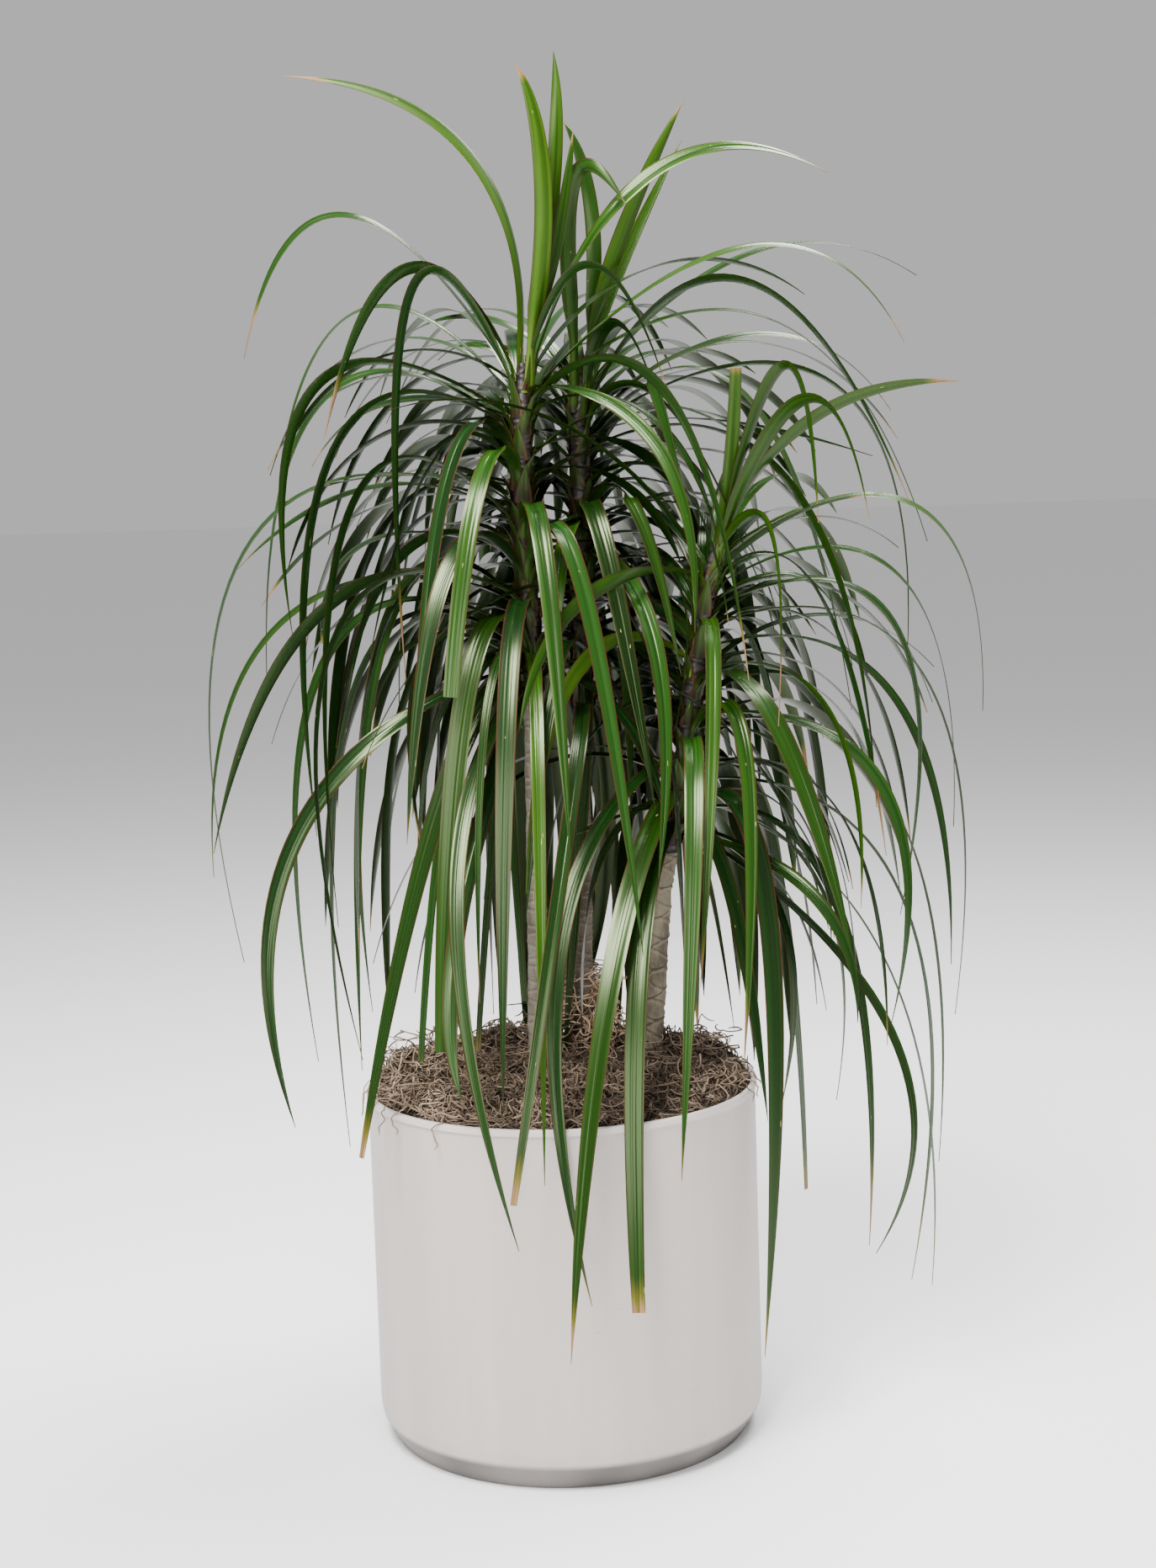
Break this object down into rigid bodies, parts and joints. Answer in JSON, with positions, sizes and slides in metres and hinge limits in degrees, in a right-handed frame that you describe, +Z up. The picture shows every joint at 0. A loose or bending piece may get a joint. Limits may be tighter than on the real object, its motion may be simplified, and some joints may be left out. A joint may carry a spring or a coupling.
{
  "type": "potted dracaena plant",
  "caption": "Indoor plant with slender bare canes, each topped by a fountain of long arching strap leaves, standing in a tall round matte planter dressed with dry moss.",
  "frame": {"origin": "middle of the pot's flat underside, on the pot's axis", "axes": "+Z up along the pot's axis; the viewer of the picture looks along +Y, from the -Y side, with +X to the right"},
  "size_m": [0.7222, 0.6353, 1.2518],
  "materials": {
    "pot": "matte off-white",
    "soil": "loose dark potting mix",
    "moss": "dry curly strands",
    "cane": "rough pale bark",
    "crown": "glossy leaf"
  },
  "bodies": {
    "root": {"pot": "pot", "soil": "soil", "moss": "moss", "cane_left": "cane", "cane_middle": "cane", "cane_right": "cane", "crown_left": "crown", "crown_middle": "crown", "crown_right": "crown"}
  },
  "joints": []
}
